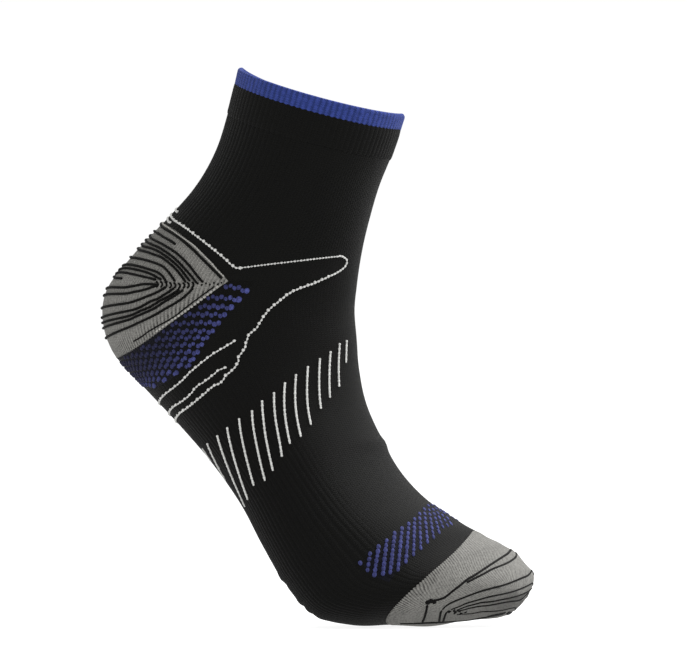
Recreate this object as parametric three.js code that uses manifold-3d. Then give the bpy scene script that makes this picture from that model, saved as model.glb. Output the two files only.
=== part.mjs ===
// Compression sport sock for a right foot, as worn, with the heel raised and the toes flat.
// Millimetres, +X from heel to toe, +Y towards the big toe's side, +Z up.
// The sock is one knitted tube, made as the knitted zones that show on it, each a thin curved wall.

import * as THREE from "three";
import { ParametricGeometry } from "three/addons/geometries/ParametricGeometry.js";
import { mergeVertices } from "three/addons/utils/BufferGeometryUtils.js";
import Module from "manifold-3d";

const manifold = await Module();
manifold.setup();

// Overall sizes of the sock as worn

const reach = 182; // back of the heel to the tip of the toe, along the ground
const height = 233; // underside of the toes to the rim

// Girth of each stretch, from back to front (or sole to instep) and from side to side

const leg = { depth: 72, width: 66 };
const heel = { depth: 104, width: 62 };
const foot = { depth: 68, width: 76 };
const toe = { depth: 52, width: 88 };
const toeRound = 8; // how far the rounded tip stands past the last section

// Heights of the turned edge, measured down from the rim

const edgeBandHeight = 6.5;
const cuffHeight = 13;

// Knitted walls, and how far the thicker ones stand out of the plain knit

const plainWall = 1.5;
const edgeBandWall = 2.1;
const cuffWall = 2.4;
const paddedWall = 2; // heel and toe
const meshWall = 1.2;
const ribbedWall = 1.7; // arch band
const edgeBandProud = 0.2;
const cuffProud = 0.4;
const paddedProud = 0.2;
const pieceGap = 0.3; // between neighbouring zones

// Sections from the rim to the toe. The sole's side of a section is its back, the shin's its front.
// ahead and up: the centre, as shares of reach and height. tilt: degrees that the front lies above the back.
// depth, width and shift (the centre's move to the big toe's side): shares of the stretch's girth.
// lean: how far the front's ridge is drawn to the big toe's side, and dip: how far the sides sag, as shares.
// slant: degrees that the big toe's side runs ahead. flat: how square the sole is, 0 for round.

const sections = namedRows(
  ["girth", "ahead", "up", "tilt", "depth", "width", "lean", "slant", "flat", "dip", "shift"],
  [
    [leg, 0.512, 0.954, -16, 1, 1, 0, 2.5, 0, 0.05, 0],
    [leg, 0.486, 0.883, -14, 0.98, 1, 0, 2, 0, 0.04, 0],
    [leg, 0.455, 0.816, -11.5, 0.97, 0.99, 0, 1, 0, 0.01, 0],
    [leg, 0.42, 0.757, -8.5, 1.035, 0.98, 0, 0, 0, 0, 0],
    [heel, 0.376, 0.703, -4.5, 0.815, 1.03, 0, 0, 0, 0, 0],
    [heel, 0.335, 0.652, -1.7, 0.92, 1.03, 0, 0, 0, 0, 0],
    [heel, 0.302, 0.601, 0.9, 1.01, 1.04, 0, 0, 0, 0, 0],
    [heel, 0.296, 0.549, 3.2, 1.015, 1.05, 0, 0, 0, 0, 0],
    [heel, 0.314, 0.495, 4.7, 0.97, 1.06, 0, 0, 0, 0, 0],
    [heel, 0.352, 0.438, 5.6, 0.855, 1.08, 0.05, 0, 0.05, 0, 0],
    [foot, 0.399, 0.377, 7.2, 1.135, 0.92, 0.1, 1, 0.1, 0, 0],
    [foot, 0.453, 0.315, 10.2, 1.01, 0.97, 0.2, 2, 0.15, 0, 0],
    [foot, 0.508, 0.249, 14, 0.94, 1.03, 0.3, 3, 0.2, 0, 0],
    [foot, 0.564, 0.187, 19, 0.965, 1.1, 0.4, 4, 0.3, 0, 0],
    [foot, 0.624, 0.135, 25.5, 1.02, 1.15, 0.45, 5, 0.4, 0, 0],
    [foot, 0.68, 0.098, 32.5, 1, 1.17, 0.5, 6, 0.5, 0, 0],
    [toe, 0.739, 0.0815, 38.5, 1.12, 1, 0.5, 7, 0.5, 0, 0.01],
    [toe, 0.796, 0.0755, 42, 0.948, 0.95, 0.45, 8, 0.45, 0, 0.02],
    [toe, 0.8475, 0.0695, 50, 0.775, 0.86, 0.4, 9, 0.4, 0, 0.04],
    [toe, 0.893, 0.066, 54.5, 0.59, 0.73, 0.3, 9, 0.35, 0, 0.06],
    [toe, 0.939, 0.0595, 63, 0.435, 0.56, 0.2, 9, 0.3, 0, 0.09],
  ],
);

// Edges of the zones, given as section numbers at turns in degrees from the back or sole.
// Both sides of the sock are alike, so a turn counts the same way to either side.

const panelEdges = namedRows(
  ["turn", "upper", "lower"],
  [
    [0, 3.8, 9.85],
    [24, 3.84, 9.78],
    [40, 3.96, 9.64],
    [56, 4.17, 9.48],
    [72, 4.52, 9.22],
    [88, 5.02, 8.7],
    [96, 5.24, 8.2],
    [104, 5.19, 7.7],
    [120, 5.02, 6.5],
    [136, 4.86, 5.78],
    [152, 4.72, 5.32],
    [160, 4.9, 4.9],
  ],
);
const heelGore = { section: 5.75, turn: 94, above: 1.75, below: 2.25, bow: 2.9 };
const heelMeshEdge = { section: 5.8, turn: 107, below: 3.2, bow: 3.8 };
const archBand = { soleFrom: 10.7, soleTo: 12.3, instepFrom: 7.9, instepTo: 8.6, bowFrom: 1.6, bowTo: 2.1 };
const instepMesh = { sideTurn: 90, sideFrom: 14.84, sideTo: 15.95, topFrom: 13.26, topTo: 14.29, topRound: 12 };
const toeCap = { sole: 17.14, top: 15.3, topRound: 6, bow: 4.2 };

// Fineness of the walls

const turnStep = 7.5; // degrees between the columns of a wall, alike in every zone
const sliverWidth = 0.01; // narrower triangles are merged away after a cut
const weldDistance = 0.001; // nearer corners become one

function namedRows(names, rows) {
  return rows.map((row) => Object.fromEntries(row.map((value, i) => [names[i], value])));
}

// The surface

const lastSection = sections.length - 1;
const sectionSizes = sections.map((s) => ({
  x: s.ahead * reach,
  z: s.up * height,
  tilt: THREE.MathUtils.degToRad(s.tilt),
  depth: s.depth * s.girth.depth,
  width: s.width * s.girth.width,
  lean: s.lean,
  slant: Math.tan(THREE.MathUtils.degToRad(s.slant)),
  flat: s.flat,
  dip: s.dip * s.girth.depth,
  shift: s.shift * s.girth.width,
}));

// A function of one number that works out each value once
function remembered(work) {
  const known = new Map();
  return (key) => {
    if (!known.has(key)) known.set(key, work(key));
    return known.get(key);
  };
}

// A smooth curve through the sections
const sectionAt = remembered((section) => {
  const at = THREE.MathUtils.clamp(section, 0, lastSection);
  const i = Math.min(Math.floor(at), lastSection - 1);
  const t = at - i;
  const between = (name) => {
    const b = sectionSizes[i][name];
    const c = sectionSizes[i + 1][name];
    const a = i > 0 ? sectionSizes[i - 1][name] : 2 * b - c;
    const d = i + 2 <= lastSection ? sectionSizes[i + 2][name] : 2 * c - b;
    const cubic = (2 * b + (c - a) * t + (2 * a - 5 * b + 4 * c - d) * t ** 2) / 2;
    return cubic + ((3 * b - a - 3 * c + d) * t ** 3) / 2;
  };
  return Object.fromEntries(Object.keys(sectionSizes[0]).map((name) => [name, between(name)]));
});

function backOf(section) {
  const s = sectionAt(section);
  return new THREE.Vector2(s.x - (s.depth / 2) * Math.cos(s.tilt), s.z - (s.depth / 2) * Math.sin(s.tilt));
}

// Direction of the back and sole line, along which a slanted or dipping section is drawn
const soleDirection = remembered((section) => {
  const half = 0.25;
  const at = THREE.MathUtils.clamp(section, half, lastSection - half);
  return backOf(at + half).sub(backOf(at - half)).normalize();
});

const signedPower = (value, power) => Math.sign(value) * Math.abs(value) ** power;
const soleSquareness = 1.6; // added to a round section's power of 2 where flat is 1
const toeRoundFrom = THREE.MathUtils.degToRad(30);
const dipRoundness = 1.1; // 1 for a sharp peak at back and front, 2 for a round one

function surfacePoint(section, turn) {
  const s = sectionAt(section);
  const past = THREE.MathUtils.clamp(section - lastSection, 0, 1);
  const arc = THREE.MathUtils.lerp(toeRoundFrom, Math.PI / 2, past);
  const shrink = past > 0 ? Math.cos(arc) / Math.cos(toeRoundFrom) : 1;
  const ahead = past > 0 ? toeRound * (Math.sin(arc) - Math.sin(toeRoundFrom)) : 0;
  const angle = THREE.MathUtils.degToRad(turn);
  const toBack = Math.cos(angle);
  const toSide = Math.sin(angle);
  const power = 2 / (2 + (soleSquareness * s.flat * (1 + toBack)) / 2);
  const forward = (-s.depth / 2) * shrink * signedPower(toBack, power);
  const aside = (-s.width / 2) * shrink * signedPower(toSide, power);
  const leaning = (-s.lean * s.width * shrink * signedPower(toBack, power)) / 4;
  const along = s.slant * (aside + leaning) + s.dip * Math.abs(toSide) ** dipRoundness;
  const sole = soleDirection(section);
  return new THREE.Vector3(
    s.x + forward * Math.cos(s.tilt) + ahead * Math.sin(s.tilt) + along * sole.x,
    aside + leaning + s.shift,
    s.z + forward * Math.sin(s.tilt) - ahead * Math.cos(s.tilt) + along * sole.y,
  );
}

function surfaceNormal(section, turn) {
  const step = 0.02;
  const at = Math.min(section, lastSection + 1 - step);
  const down = surfacePoint(at + step, turn).sub(surfacePoint(at - step, turn));
  const round = surfacePoint(at, turn + 1).sub(surfacePoint(at, turn - 1));
  return down.cross(round).normalize();
}

// Lengths in millimetres of one section and of one degree, at a place on the surface
function lengthPerSection(section, turn) {
  const step = 0.05;
  const at = THREE.MathUtils.clamp(section, step, lastSection);
  return surfacePoint(at + step, turn).distanceTo(surfacePoint(at - step, turn)) / (2 * step);
}

function lengthPerDegree(section, turn) {
  return surfacePoint(section, turn + 1).distanceTo(surfacePoint(section, turn - 1)) / 2;
}

// Edges of zones as functions from turn to section

function belowRim(length) {
  return (turn) => {
    const step = 0.02;
    let section = 0;
    let left = length;
    while (left > 0) {
      const stretch = lengthPerSection(section, turn) * step;
      section += step * Math.min(1, left / stretch);
      left -= stretch;
    }
    return section;
  };
}

const wrapped = (turn) => Math.abs(THREE.MathUtils.euclideanModulo(turn + 180, 360) - 180);

function fromTable(table, column) {
  return (turn) => {
    const at = wrapped(turn);
    const i = table.findIndex((row) => row.turn >= at);
    if (i < 0) return table.at(-1)[column];
    if (i === 0) return table[0][column];
    const share = (at - table[i - 1].turn) / (table[i].turn - table[i - 1].turn);
    return THREE.MathUtils.lerp(table[i - 1][column], table[i][column], share);
  };
}

const pocket = (edge, amount) => (turn) =>
  edge.section + amount * (1 - Math.min(1, wrapped(turn) / edge.turn) ** edge.bow);
const towardsFront = (turn, bow) => ((1 - Math.cos(THREE.MathUtils.degToRad(turn))) / 2) ** bow;

const rim = () => 0;
const pole = () => lastSection + 1;
const edgeBandEnd = belowRim(edgeBandHeight);
const cuffEnd = belowRim(edgeBandHeight + cuffHeight);
const panelUpper = fromTable(panelEdges, "upper");
const panelLower = fromTable(panelEdges, "lower");
const heelUpper = pocket(heelGore, -heelGore.above);
const heelLower = pocket(heelGore, heelGore.below);
const heelMeshUpper = (turn) => Math.max(heelLower(turn), heelMeshEdge.section);
const heelMeshLower = pocket(heelMeshEdge, heelMeshEdge.below);
const archFrom = (turn) =>
  THREE.MathUtils.lerp(archBand.soleFrom, archBand.instepFrom, towardsFront(turn, archBand.bowFrom));
const archTo = (turn) => THREE.MathUtils.lerp(archBand.soleTo, archBand.instepTo, towardsFront(turn, archBand.bowTo));
const roundedFall = (turn, round) => Math.hypot(180 - wrapped(turn), round) - round;
const downInstep = (turn) =>
  roundedFall(turn, instepMesh.topRound) / roundedFall(instepMesh.sideTurn, instepMesh.topRound);
const instepMeshFrom = (turn) => THREE.MathUtils.lerp(instepMesh.topFrom, instepMesh.sideFrom, downInstep(turn));
const instepMeshTo = (turn) => THREE.MathUtils.lerp(instepMesh.topTo, instepMesh.sideTo, downInstep(turn));
const toeFrom = (turn) => {
  const upFromSole = 1 - roundedFall(turn, toeCap.topRound) / roundedFall(0, toeCap.topRound);
  return THREE.MathUtils.lerp(toeCap.sole, toeCap.top, upFromSole ** toeCap.bow);
};

// An edge moved along the sock by a distance measured square to the edge
function movedEdge(edge, distance) {
  if (distance === 0) return edge;
  return (turn) => {
    const section = edge(turn);
    const perSection = lengthPerSection(section, turn);
    const rise = ((edge(turn + 1) - edge(turn - 1)) / 2) * perSection;
    const slope = rise / lengthPerDegree(section, turn);
    return section + (distance * Math.min(3, Math.hypot(1, slope))) / perSection;
  };
}

// Walls

function closedGeometry(geometry) {
  geometry.deleteAttribute("normal");
  geometry.deleteAttribute("uv");
  const merged = mergeVertices(geometry, weldDistance);
  const index = merged.index.array;
  const kept = [];
  for (let i = 0; i < index.length; i += 3) {
    const [a, b, c] = index.slice(i, i + 3);
    if (a !== b && b !== c && c !== a) kept.push(a, b, c);
  }
  if (signedVolume(merged.attributes.position, kept) < 0) kept.reverse();
  merged.setIndex(kept);
  return merged;
}

function signedVolume(position, index) {
  const [a, b, c] = [new THREE.Vector3(), new THREE.Vector3(), new THREE.Vector3()];
  let volume = 0;
  for (let i = 0; i < index.length; i += 3) {
    a.fromBufferAttribute(position, index[i]);
    b.fromBufferAttribute(position, index[i + 1]);
    c.fromBufferAttribute(position, index[i + 2]);
    volume += a.dot(b.cross(c)) / 6;
  }
  return volume;
}

function everyStep([first, last]) {
  const steps = Math.round((last - first) / turnStep);
  return Array.from({ length: steps + 1 }, (_, i) => first + i * turnStep);
}

// A wall between two edges, with a column at each of the turns. Its profile runs down the outside
// and back up the inside. A wall that doesn't go all the way round has an end face at its first and
// last column, fanned out from its middle.
function wall({ from, to, rows, turns, outside = 0, inside }) {
  const open = turns.at(-1) - turns[0] < 360;
  const columns = open ? [turns[0], ...turns, turns.at(-1)] : turns;
  const last = columns.length - 1;
  const profiles = columns.map((turn, column) => {
    const [start, end] = [from(turn), to(turn)];
    const down = Array.from({ length: rows + 1 }, (_, i) => THREE.MathUtils.lerp(start, end, i / rows));
    const offsetPoint = (section, offset) =>
      surfacePoint(section, turn).addScaledVector(surfaceNormal(section, turn), offset);
    if (open && (column === 0 || column === last)) {
      const middle = offsetPoint((start + end) / 2, (outside - inside) / 2);
      return Array(2 * rows + 2).fill(middle);
    }
    return [
      ...down.map((section) => offsetPoint(section, outside)),
      ...down.toReversed().map((section) => offsetPoint(section, -inside)),
    ];
  });
  const sides = 2 * rows + 2;
  const place = (u, v, target) => target.copy(profiles[Math.round(v * last)][Math.round(u * sides) % sides]);
  return closedGeometry(new ParametricGeometry(place, sides, last));
}

function zoneWall({ from, to, rows, turns = [0, 360], proud = 0, thickness }) {
  return wall({
    from: from === rim ? from : movedEdge(from, pieceGap / 2),
    to: to === pole ? to : movedEdge(to, -pieceGap / 2),
    rows,
    turns: everyStep(turns),
    outside: proud,
    inside: thickness - proud,
  });
}

// The room that a zone takes out of the wall round it, with the gap
function zoneRoom({ from, to, rows, turns: [first, last], thickness }) {
  const gapTurn = pieceGap / lengthPerDegree((from(last) + to(last)) / 2, last);
  return wall({
    from: movedEdge(from, -pieceGap / 2),
    to: movedEdge(to, pieceGap / 2),
    rows,
    turns: [first - gapTurn, ...everyStep([first, last]), last + gapTurn],
    outside: thickness,
    inside: 2 * thickness,
  });
}

function solidOf(geometry) {
  return new manifold.Manifold(
    new manifold.Mesh({
      numProp: 3,
      vertProperties: new Float32Array(geometry.attributes.position.array),
      triVerts: new Uint32Array(geometry.index.array),
    }),
  );
}

function withRoomFor(geometry, rooms) {
  const remaining = rooms.reduce((solid, room) => solid.subtract(solidOf(room)), solidOf(geometry));
  const cut = remaining.asOriginal().simplify(sliverWidth).getMesh();
  const result = new THREE.BufferGeometry();
  result.setAttribute("position", new THREE.BufferAttribute(new Float32Array(cut.vertProperties), 3));
  result.setIndex([...cut.triVerts]);
  return closedGeometry(result);
}

// Finishes

const blackYarn = new THREE.MeshStandardMaterial({ color: 0x171716, roughness: 0.85, metalness: 0 });
const blueYarn = new THREE.MeshStandardMaterial({ color: 0x2e4190, roughness: 0.8, metalness: 0 });
const greyYarn = new THREE.MeshStandardMaterial({ color: 0x8b8a84, roughness: 0.9, metalness: 0 });
const blueMeshYarn = new THREE.MeshStandardMaterial({ color: 0x2a2f66, roughness: 0.85, metalness: 0 });

// Zones

const sock = new THREE.Group();

function addZone(name, geometry, material) {
  const mesh = new THREE.Mesh(geometry, material);
  mesh.name = name;
  sock.add(mesh);
}

// A pointed zone ends in a blunt tip, at the last column before its point
function upTo(turn) {
  const tip = turnStep * Math.ceil(turn / turnStep - 1);
  return [-tip, tip];
}

function overTheTop(turn) {
  return [turn, 360 - turn];
}

function addEdgeBand() {
  const band = { from: rim, to: edgeBandEnd, rows: 1, proud: edgeBandProud, thickness: edgeBandWall };
  addZone("edge_band", zoneWall(band), blueYarn);
}

function addCuff() {
  const cuff = { from: edgeBandEnd, to: cuffEnd, rows: 2, proud: cuffProud, thickness: cuffWall };
  addZone("cuff", zoneWall(cuff), blackYarn);
}

function addLeg() {
  addZone("leg", zoneWall({ from: cuffEnd, to: panelUpper, rows: 6, thickness: plainWall }), blackYarn);
}

const heelPocket = { from: heelUpper, to: heelLower, rows: 7, turns: upTo(heelGore.turn) };
const heelMesh = { from: heelMeshUpper, to: heelMeshLower, rows: 3, turns: upTo(heelMeshEdge.turn) };
const instepMeshPatch = {
  from: instepMeshFrom,
  to: instepMeshTo,
  rows: 2,
  turns: overTheTop(instepMesh.sideTurn),
};

function addHeel() {
  const padded = { proud: paddedProud, thickness: paddedWall };
  addZone("heel_pocket", zoneWall({ ...heelPocket, ...padded }), greyYarn);
  addZone("heel_mesh", zoneWall({ ...heelMesh, thickness: meshWall }), blueMeshYarn);
}

function addAnklePanel() {
  const turns = upTo(panelEdges.at(-1).turn);
  const panel = zoneWall({ from: panelUpper, to: panelLower, rows: 8, turns, thickness: plainWall });
  const rooms = [heelPocket, heelMesh].map((zone) => zoneRoom({ ...zone, thickness: paddedWall }));
  addZone("ankle_panel", withRoomFor(panel, rooms), blackYarn);
}

function addFoot() {
  addZone("foot", zoneWall({ from: panelLower, to: archFrom, rows: 5, thickness: plainWall }), blackYarn);
  addZone("arch_band", zoneWall({ from: archFrom, to: archTo, rows: 3, thickness: ribbedWall }), blackYarn);
  const forefoot = zoneWall({ from: archTo, to: toeFrom, rows: 8, thickness: plainWall });
  const room = zoneRoom({ ...instepMeshPatch, thickness: paddedWall });
  addZone("forefoot", withRoomFor(forefoot, [room]), blackYarn);
  addZone("instep_mesh", zoneWall({ ...instepMeshPatch, thickness: meshWall }), blueMeshYarn);
}

function addToeCap() {
  const cap = { from: toeFrom, to: pole, rows: 7, proud: paddedProud, thickness: paddedWall };
  addZone("toe_cap", zoneWall(cap), greyYarn);
}

addEdgeBand();
addCuff();
addLeg();
addHeel();
addAnklePanel();
addFoot();
addToeCap();

// The origin is the centre of the mouth, where the foot goes in

const mouth = sectionAt(0);
sock.position.set(-mouth.x, 0, -mouth.z);

export default sock;
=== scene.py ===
# Compression sport sock for a right foot, as worn: its knitted looks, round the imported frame.
# Metres, in the frame's own axes: +X from heel to toe, +Y towards the big toe's side, +Z up.
# A place on the sock is a section, counted from the rim down to the toe, and a turn in degrees
# from the back or sole, growing over the outer side to 180 at the front.

import functools
import math

import bmesh
import bpy
import numpy as np
from bpy.props import FloatProperty, FloatVectorProperty, PointerProperty
from mathutils import Matrix, Vector
from mathutils.bvhtree import BVHTree


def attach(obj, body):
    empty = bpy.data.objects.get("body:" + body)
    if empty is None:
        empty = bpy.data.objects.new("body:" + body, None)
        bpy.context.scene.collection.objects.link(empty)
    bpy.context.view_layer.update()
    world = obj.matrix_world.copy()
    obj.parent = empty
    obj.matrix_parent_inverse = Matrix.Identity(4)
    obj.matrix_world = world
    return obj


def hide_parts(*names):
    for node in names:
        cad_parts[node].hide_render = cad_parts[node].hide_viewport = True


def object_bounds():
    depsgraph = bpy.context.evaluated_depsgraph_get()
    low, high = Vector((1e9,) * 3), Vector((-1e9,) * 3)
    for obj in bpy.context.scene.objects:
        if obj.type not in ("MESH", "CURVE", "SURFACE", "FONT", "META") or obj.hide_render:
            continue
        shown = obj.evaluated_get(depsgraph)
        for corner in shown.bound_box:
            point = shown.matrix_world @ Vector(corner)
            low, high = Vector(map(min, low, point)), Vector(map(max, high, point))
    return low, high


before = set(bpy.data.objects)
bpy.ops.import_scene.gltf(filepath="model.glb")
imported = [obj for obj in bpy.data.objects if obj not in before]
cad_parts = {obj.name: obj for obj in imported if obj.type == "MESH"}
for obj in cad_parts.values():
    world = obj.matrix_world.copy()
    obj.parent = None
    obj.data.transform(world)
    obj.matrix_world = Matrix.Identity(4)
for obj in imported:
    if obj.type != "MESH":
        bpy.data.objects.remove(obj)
cad_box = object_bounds()

bl_info = {
    "name": "Compression sport sock",
    "version": (1, 0, 0),
    "blender": (4, 5, 0),
    "location": "3D View > Sidebar > Sock",
    "description": "Knits a compression sport sock, zone by zone",
    "category": "Add Mesh",
}

# Form of the worn sock

REACH = 0.182
HEIGHT = 0.233
GIRTHS = {  # depth from back to front or sole to instep, and width
    "leg": (0.072, 0.066),
    "heel": (0.104, 0.062),
    "foot": (0.068, 0.076),
    "toe": (0.052, 0.088),
}
TOE_ROUND = 0.008
TOE_ROUND_FROM = math.radians(30)
SOLE_SQUARENESS = 1.6
DIP_ROUNDNESS = 1.1

# girth, then: ahead, up, tilt, depth, width, lean, slant, flat, dip, shift
SECTIONS = (
    ("leg", 0.512, 0.954, -16, 1, 1, 0, 2.5, 0, 0.05, 0),
    ("leg", 0.486, 0.883, -14, 0.98, 1, 0, 2, 0, 0.04, 0),
    ("leg", 0.455, 0.816, -11.5, 0.97, 0.99, 0, 1, 0, 0.01, 0),
    ("leg", 0.42, 0.757, -8.5, 1.035, 0.98, 0, 0, 0, 0, 0),
    ("heel", 0.376, 0.703, -4.5, 0.815, 1.03, 0, 0, 0, 0, 0),
    ("heel", 0.335, 0.652, -1.7, 0.92, 1.03, 0, 0, 0, 0, 0),
    ("heel", 0.302, 0.601, 0.9, 1.01, 1.04, 0, 0, 0, 0, 0),
    ("heel", 0.296, 0.549, 3.2, 1.015, 1.05, 0, 0, 0, 0, 0),
    ("heel", 0.314, 0.495, 4.7, 0.97, 1.06, 0, 0, 0, 0, 0),
    ("heel", 0.352, 0.438, 5.6, 0.855, 1.08, 0.05, 0, 0.05, 0, 0),
    ("foot", 0.399, 0.377, 7.2, 1.135, 0.92, 0.1, 1, 0.1, 0, 0),
    ("foot", 0.453, 0.315, 10.2, 1.01, 0.97, 0.2, 2, 0.15, 0, 0),
    ("foot", 0.508, 0.249, 14, 0.94, 1.03, 0.3, 3, 0.2, 0, 0),
    ("foot", 0.564, 0.187, 19, 0.965, 1.1, 0.4, 4, 0.3, 0, 0),
    ("foot", 0.624, 0.135, 25.5, 1.02, 1.15, 0.45, 5, 0.4, 0, 0),
    ("foot", 0.68, 0.098, 32.5, 1, 1.17, 0.5, 6, 0.5, 0, 0),
    ("toe", 0.739, 0.0815, 38.5, 1.12, 1, 0.5, 7, 0.5, 0, 0.01),
    ("toe", 0.796, 0.0755, 42, 0.948, 0.95, 0.45, 8, 0.45, 0, 0.02),
    ("toe", 0.8475, 0.0695, 50, 0.775, 0.86, 0.4, 9, 0.4, 0, 0.04),
    ("toe", 0.893, 0.066, 54.5, 0.59, 0.73, 0.3, 9, 0.35, 0, 0.06),
    ("toe", 0.939, 0.0595, 63, 0.435, 0.56, 0.2, 9, 0.3, 0, 0.09),
)

# Edges of the zones, in sections at turns

PANEL_TURNS = (0, 24, 40, 56, 72, 88, 96, 104, 120, 136, 152, 160)
PANEL_UPPER = (3.8, 3.84, 3.96, 4.17, 4.52, 5.02, 5.24, 5.19, 5.02, 4.86, 4.72, 4.9)
PANEL_LOWER = (9.85, 9.78, 9.64, 9.48, 9.22, 8.7, 8.2, 7.7, 6.5, 5.78, 5.32, 4.9)
HEEL_GORE = {"section": 5.75, "turn": 94, "above": 1.75, "below": 2.25, "bow": 2.9}
HEEL_MESH = {"section": 5.75, "turn": 107, "below": 3.25, "bow": 3.8}
ARCH_FROM = {"sole": 10.7, "instep": 7.9, "bow": 1.6}
ARCH_TO = {"sole": 12.3, "instep": 8.6, "bow": 2.1}
INSTEP_MESH = {
    "turn": 90, "side_from": 14.84, "side_to": 15.95, "top_from": 13.26, "top_to": 14.29, "round": 12,
}
TOE_CAP = {"sole": 17.14, "top": 15.3, "round": 6, "bow": 4.2}

# Gauge of the knitting

WALES = 180  # stitches round the sock
COURSE = 0.00095  # from one row of stitches to the next
COLUMNS_PER_WALE = 4
TOE_WALES = 144
TOE_DRIFT = 6  # stitches in a section
BAND_WAVE = 0.6  # of the scallop, where the blue band meets the cuff
CORNER = 2  # degrees at each end of the heel's edges that stay straight
WELD = 1e-6
SHARP_ANGLE = math.radians(55)

# How strong the 1x1 rib stands at the sole's side, by section
RIB_SECTIONS = (0, 3.4, 4.8, 9, 10.4, 15.5, 17.5)
RIB_STRENGTHS = (1, 1, 0.35, 0.35, 1, 1, 0.3)
RIB_TURNS = (118, 84)  # from none to full

OPENWORK_SECTIONS = (1.3, 2, 4.4, 5.4)
OPENWORK_TURNS = (98, 124)
TICKED = 0.0055  # how far furrows show dark

# From none to full, in degrees from the back or sole
TOE_TICK_TURNS = (175, 110)
TOE_TEETH_TURNS = (175, 120)
HEEL_BLUE_TURNS = (95, 45)
FOLD_TURNS = (50, 15)  # from the fold's middle

# The photograph: 689 by 671 pixels, seen from the outer side and a little from the front

PHOTO_WIDTH = 689
PHOTO_CENTRE = (344.5, 335.5)
PIXEL = 0.0004167  # at the sock's middle
VIEW_AZIMUTH = math.radians(10)
VIEW_DISTANCE = 4.0
VIEW_AHEAD = 0.10105  # of the heel's back, along the picture
VIEW_UP = 0.12063  # above the sole
SEARCH_STEPS = (0.04, 0.75)  # sections and degrees between the places that pixels are compared with

# Lines that show in the photograph, as pixels of its near side. The far side has them too.

OUTLINE_BACK = ((242, 268.4), (234, 266.6), (223, 257), (206.4, 243.5), (186, 228), (172, 218))
OUTLINE_TOP = ((240, 268), (267, 264.5), (297, 261), (322, 258), (341, 256))
OUTLINE_TIP = ((338, 256.3), (342, 256.3), (346.8, 260.5), (344.4, 267), (335.4, 273.6), (327, 277))
OUTLINE_LOW = (
    (330, 275.8), (315.3, 282.5), (306.3, 285.9), (297.4, 289.2), (288.4, 293.7), (279.5, 300.8),
    (270.5, 308.2), (263.8, 316.1), (256, 328.4), (249.3, 334), (245.9, 342.9), (244.4, 348.5),
    (238.3, 357.4), (238.1, 361.9), (232.5, 369.8), (225.8, 375.3), (221.3, 382.1), (212.4, 386.5),
    (203.4, 394.4), (190, 405.5), (178, 415),
)
BRANCHES = (
    ((236, 340), (223.6, 347.4), (212.4, 354.1), (201.2, 362.6), (190, 372), (179, 383), (162, 397)),
    (
        (226.9, 367.1), (219.1, 369.8), (212.4, 375.3), (203.4, 382.1), (196.7, 386.5), (190, 394.4),
        (182, 401), (171, 409),
    ),
    ((178, 212), (176, 211)),
    ((171, 223), (168, 221)),
)
DASHES = (
    ((346.6, 340), (346, 363)), ((339.6, 343), (339, 387)), ((330.6, 351), (330, 398)),
    ((320, 358), (321, 409)), ((308, 366), (311, 425)), ((296, 374), (301, 437)),
    ((285, 382), (290, 444)), ((274, 392), (282, 457)), ((262, 400), (273, 471)),
    ((252, 410), (265, 481)), ((239, 418), (254, 486)), ((227, 427), (248, 500)),
    ((217, 435), (245, 507)), ((207, 443), (226, 481)), ((202, 448), (211, 461)),
)
HEEL_COURSES = (
    (
        (222.4, 278.8), (212.8, 269.2), (206.7, 263.1), (200.6, 257), (194.5, 250.9), (188.4, 245.4),
        (182.4, 240.3), (175.3, 235.2), (168.2, 230.7), (162.1, 226.6),
    ),
    ((176.3, 244.8), (170.2, 240.8), (163.1, 236.7), (155, 231.8)),
    ((203.6, 282.8), (198.6, 277.3), (188.4, 264.6), (176.3, 253), (163.1, 244.8), (151, 238)),
    ((197.6, 283.9), (188.4, 272.7), (175.3, 259), (161.1, 248.9), (147, 242)),
    ((190.5, 281.8), (178.3, 266.6), (164.1, 255), (154, 249.5), (143, 246)),
    ((186.4, 282.8), (176.3, 269.7), (163.1, 258.5), (152, 254), (139, 250)),
    ((175.8, 281.8), (166.1, 269.2), (155, 263.1), (132, 258)),
    ((167.7, 283.9), (161.1, 274.7), (148, 269), (124, 266)),
    ((162, 280), (145, 272), (120, 270)),
    ((157, 280), (140, 276), (117, 274)),
    ((123, 279), (115, 278)),
    ((157, 284.5), (145.3, 284.3), (134.2, 286.1), (122.4, 287.6), (106, 288.2)),
    ((159.5, 284.5), (147.5, 289.1), (136.4, 291.7), (123, 293.9), (104, 295.5)),
    ((167.5, 286.5), (157.9, 292), (149, 295.8), (137.9, 300.2), (125.3, 303.5), (103, 308)),
    (
        (175, 288), (165.3, 294.3), (157.9, 298.7), (150.5, 301.7), (139.4, 307.6), (126.8, 311.3),
        (103, 317.5),
    ),
    (
        (180, 289), (171.2, 295), (160.1, 300.9), (151.2, 306.5), (141.6, 310.5), (126.8, 316.5),
        (103, 322.8),
    ),
    (
        (184, 289.5), (174.9, 295.8), (163.8, 302.4), (153.4, 309.1), (136.4, 316.5), (125.3, 320.9),
        (104, 328),
    ),
    (
        (194, 287.6), (182.3, 298.7), (163.8, 309.8), (151.9, 316.5), (136.4, 323.9), (124.6, 329),
        (106, 338),
    ),
)
HEEL_FINE_COURSE = (
    (215, 286), (206.7, 292), (186, 307.6), (173.4, 317.5), (159.3, 325.3), (149, 331.3), (141.6, 336.8),
    (133.4, 341.6),
)
HEEL_UPPER_EDGE = (
    (223.9, 276.8), (217.8, 270.7), (211.7, 263.6), (205.7, 257.5), (199.6, 251.4), (193.5, 245.4),
    (185.4, 239.8), (176.8, 233.7), (170.2, 229.1), (163.1, 224.1),
)
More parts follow.
